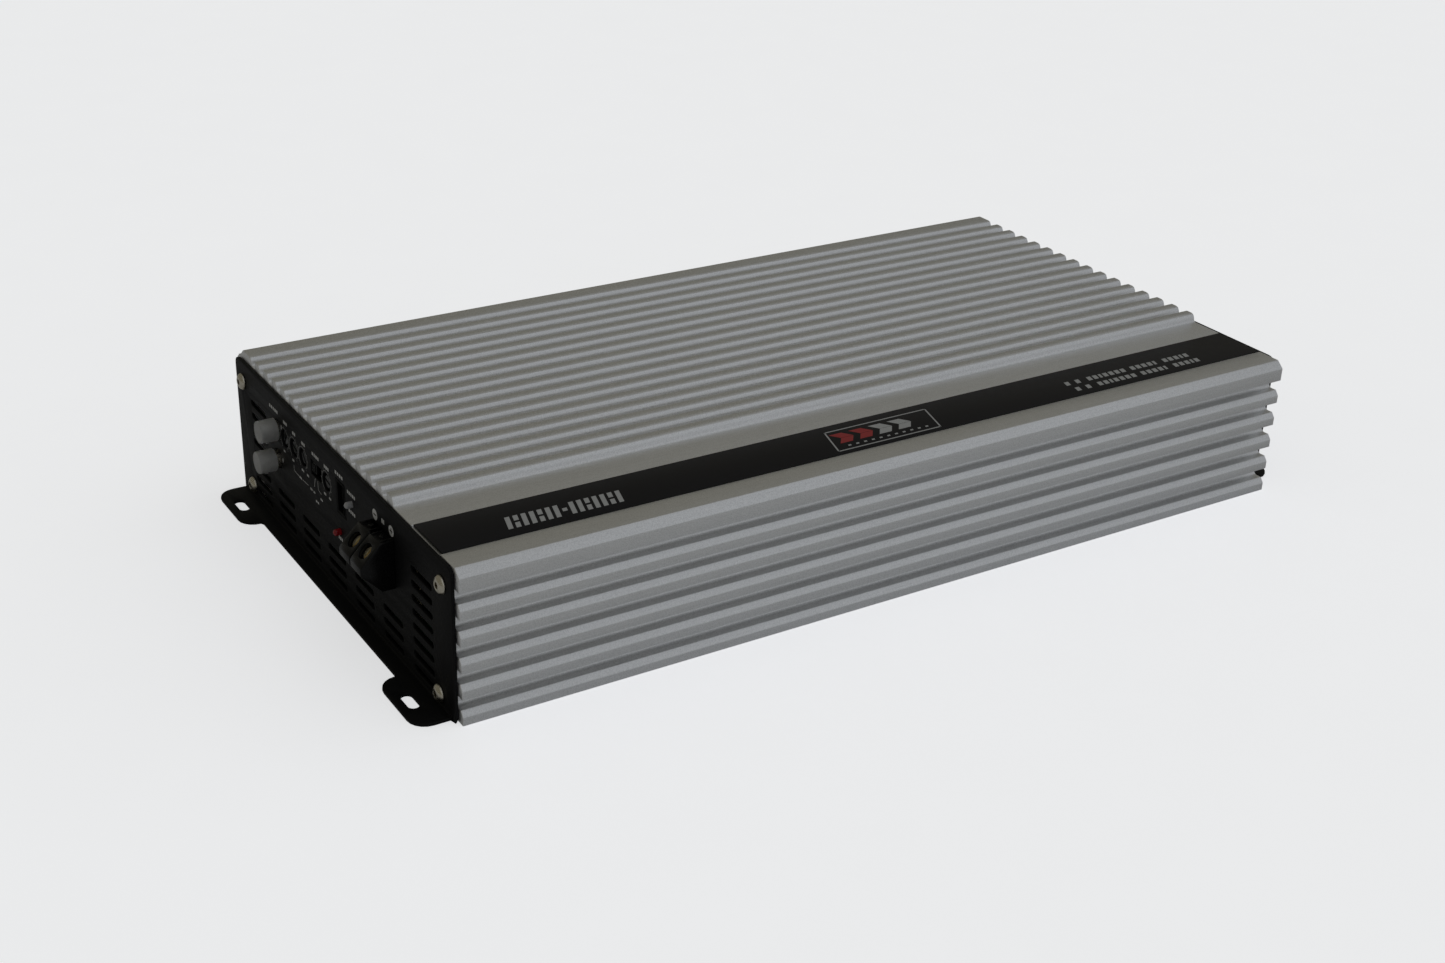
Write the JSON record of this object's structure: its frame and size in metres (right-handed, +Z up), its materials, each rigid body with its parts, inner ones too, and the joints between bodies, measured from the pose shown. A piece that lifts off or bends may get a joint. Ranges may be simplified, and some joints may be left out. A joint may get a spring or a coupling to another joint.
{
  "type": "car amplifier",
  "caption": "Finned aluminium car audio amplifier with black slotted end plates, foot tabs, capped input jacks, level controls and screw-clamp cable terminals.",
  "frame": {"origin": "centre of the underside of the finned body, on the mounting surface", "axes": "+X along the extrusion from the control end to the power end, -Y towards the front side with the label strip, +Z up"},
  "size_m": [0.4644, 0.24, 0.0715],
  "materials": {
    "aluminium": "bead-blasted satin silver",
    "black_steel": "matte black powder coat",
    "strip": null,
    "nickel": "polished nickel plate",
    "brass": "plated brass",
    "black_plastic": "moulded black",
    "cap_plastic": "translucent grey",
    "white_plastic": "moulded white",
    "red_lens": "clear red",
    "clear_lens": "water clear",
    "board": "green solder mask",
    "winding": "enamelled copper winding",
    "sleeve": "shrink sleeve",
    "devices": "moulded packages on a clamping bar"
  },
  "bodies": {
    "chassis": {"heatsink_body": "aluminium", "label_strip": "strip", "bottom_cover": "black_steel", "control_end_plate": "black_steel", "power_end_plate": "black_steel", "control_screw_front_top": "nickel", "control_screw_front_low": "nickel", "control_screw_back_top": "nickel", "control_screw_back_low": "nickel", "power_screw_front_top": "nickel", "power_screw_front_low": "nickel", "power_screw_back_top": "nickel", "power_screw_back_low": "nickel", "cover_screw_front_1": "black_steel", "cover_screw_front_2": "black_steel", "cover_screw_front_3": "black_steel", "cover_screw_back_1": "black_steel", "cover_screw_back_2": "black_steel", "cover_screw_back_3": "black_steel", "speaker_terminal_block": "black_plastic", "power_terminal_block": "black_plastic", "speaker_plus_clamp": "brass", "speaker_minus_clamp": "brass", "power_battery_clamp": "brass", "power_remote_clamp": "brass", "power_ground_clamp": "brass", "main_board": "board", "control_board": "board", "level_pot": "black_plastic", "lowpass_pot": "black_plastic", "subsonic_pot": "black_plastic", "boost_pot": "black_plastic", "mode_switch_body": "black_plastic", "remote_port": "black_plastic", "power_led": "red_lens", "clip_led": "clear_lens", "jack_housing": "white_plastic", "jack_upper_shell": "nickel", "jack_lower_shell": "nickel", "power_transformer": "winding", "output_inductor": "winding", "capacitor_1": "sleeve", "capacitor_2": "sleeve", "capacitor_3": "sleeve", "front_power_devices": "devices", "back_power_devices": "devices"},
    "level_shaft": {"level_shaft": "black_plastic"},
    "lowpass_shaft": {"lowpass_shaft": "black_plastic"},
    "subsonic_shaft": {"subsonic_shaft": "black_plastic"},
    "boost_shaft": {"boost_shaft": "black_plastic"},
    "mode_switch_knob": {"mode_switch_knob": "black_plastic"},
    "jack_upper_cap": {"jack_upper_cap": "cap_plastic"},
    "jack_lower_cap": {"jack_lower_cap": "cap_plastic"},
    "speaker_plus_screw": {"speaker_plus_screw": "brass"},
    "speaker_minus_screw": {"speaker_minus_screw": "brass"},
    "power_battery_screw": {"power_battery_screw": "brass"},
    "power_remote_screw": {"power_remote_screw": "brass"},
    "power_ground_screw": {"power_ground_screw": "brass"}
  },
  "joints": [
    {"name": "level_turn", "type": "hinge", "parent": "chassis", "child": "level_shaft", "pos_m": [-0.215, 0.0565, 0.0495], "axis": [1, 0, 0], "range_deg": [-77, 203]},
    {"name": "lowpass_turn", "type": "hinge", "parent": "chassis", "child": "lowpass_shaft", "pos_m": [-0.215, 0.0455, 0.0495], "axis": [1, 0, 0], "range_deg": [-163, 117]},
    {"name": "subsonic_turn", "type": "hinge", "parent": "chassis", "child": "subsonic_shaft", "pos_m": [-0.215, 0.0345, 0.0495], "axis": [1, 0, 0], "range_deg": [-192, 88]},
    {"name": "boost_turn", "type": "hinge", "parent": "chassis", "child": "boost_shaft", "pos_m": [-0.215, 0.0074, 0.0495], "axis": [1, 0, 0], "range_deg": [-151, 129]},
    {"name": "mode_switch_slide", "type": "slide", "parent": "chassis", "child": "mode_switch_knob", "axis": [0, -1, 0], "range_m": [0, 0.0068]},
    {"name": "jack_upper_cap_pull", "type": "slide", "parent": "chassis", "child": "jack_upper_cap", "axis": [-1, 0, 0], "range_m": [0, 0.012]},
    {"name": "jack_lower_cap_pull", "type": "slide", "parent": "chassis", "child": "jack_lower_cap", "axis": [-1, 0, 0], "range_m": [0, 0.012]},
    {"name": "speaker_plus_screw_drive", "type": "slide", "parent": "chassis", "child": "speaker_plus_screw", "axis": [0.7071, 0, -0.7071], "range_m": [-0.0008, 0.0056]},
    {"name": "speaker_minus_screw_drive", "type": "slide", "parent": "chassis", "child": "speaker_minus_screw", "axis": [0.7071, 0, -0.7071], "range_m": [-0.0008, 0.0056]},
    {"name": "power_battery_screw_drive", "type": "slide", "parent": "chassis", "child": "power_battery_screw", "axis": [-0.7071, 0, -0.7071], "range_m": [-0.0008, 0.0056]},
    {"name": "power_remote_screw_drive", "type": "slide", "parent": "chassis", "child": "power_remote_screw", "axis": [-0.7071, 0, -0.7071], "range_m": [-0.0008, 0.0056]},
    {"name": "power_ground_screw_drive", "type": "slide", "parent": "chassis", "child": "power_ground_screw", "axis": [-0.7071, 0, -0.7071], "range_m": [-0.0008, 0.0056]}
  ]
}
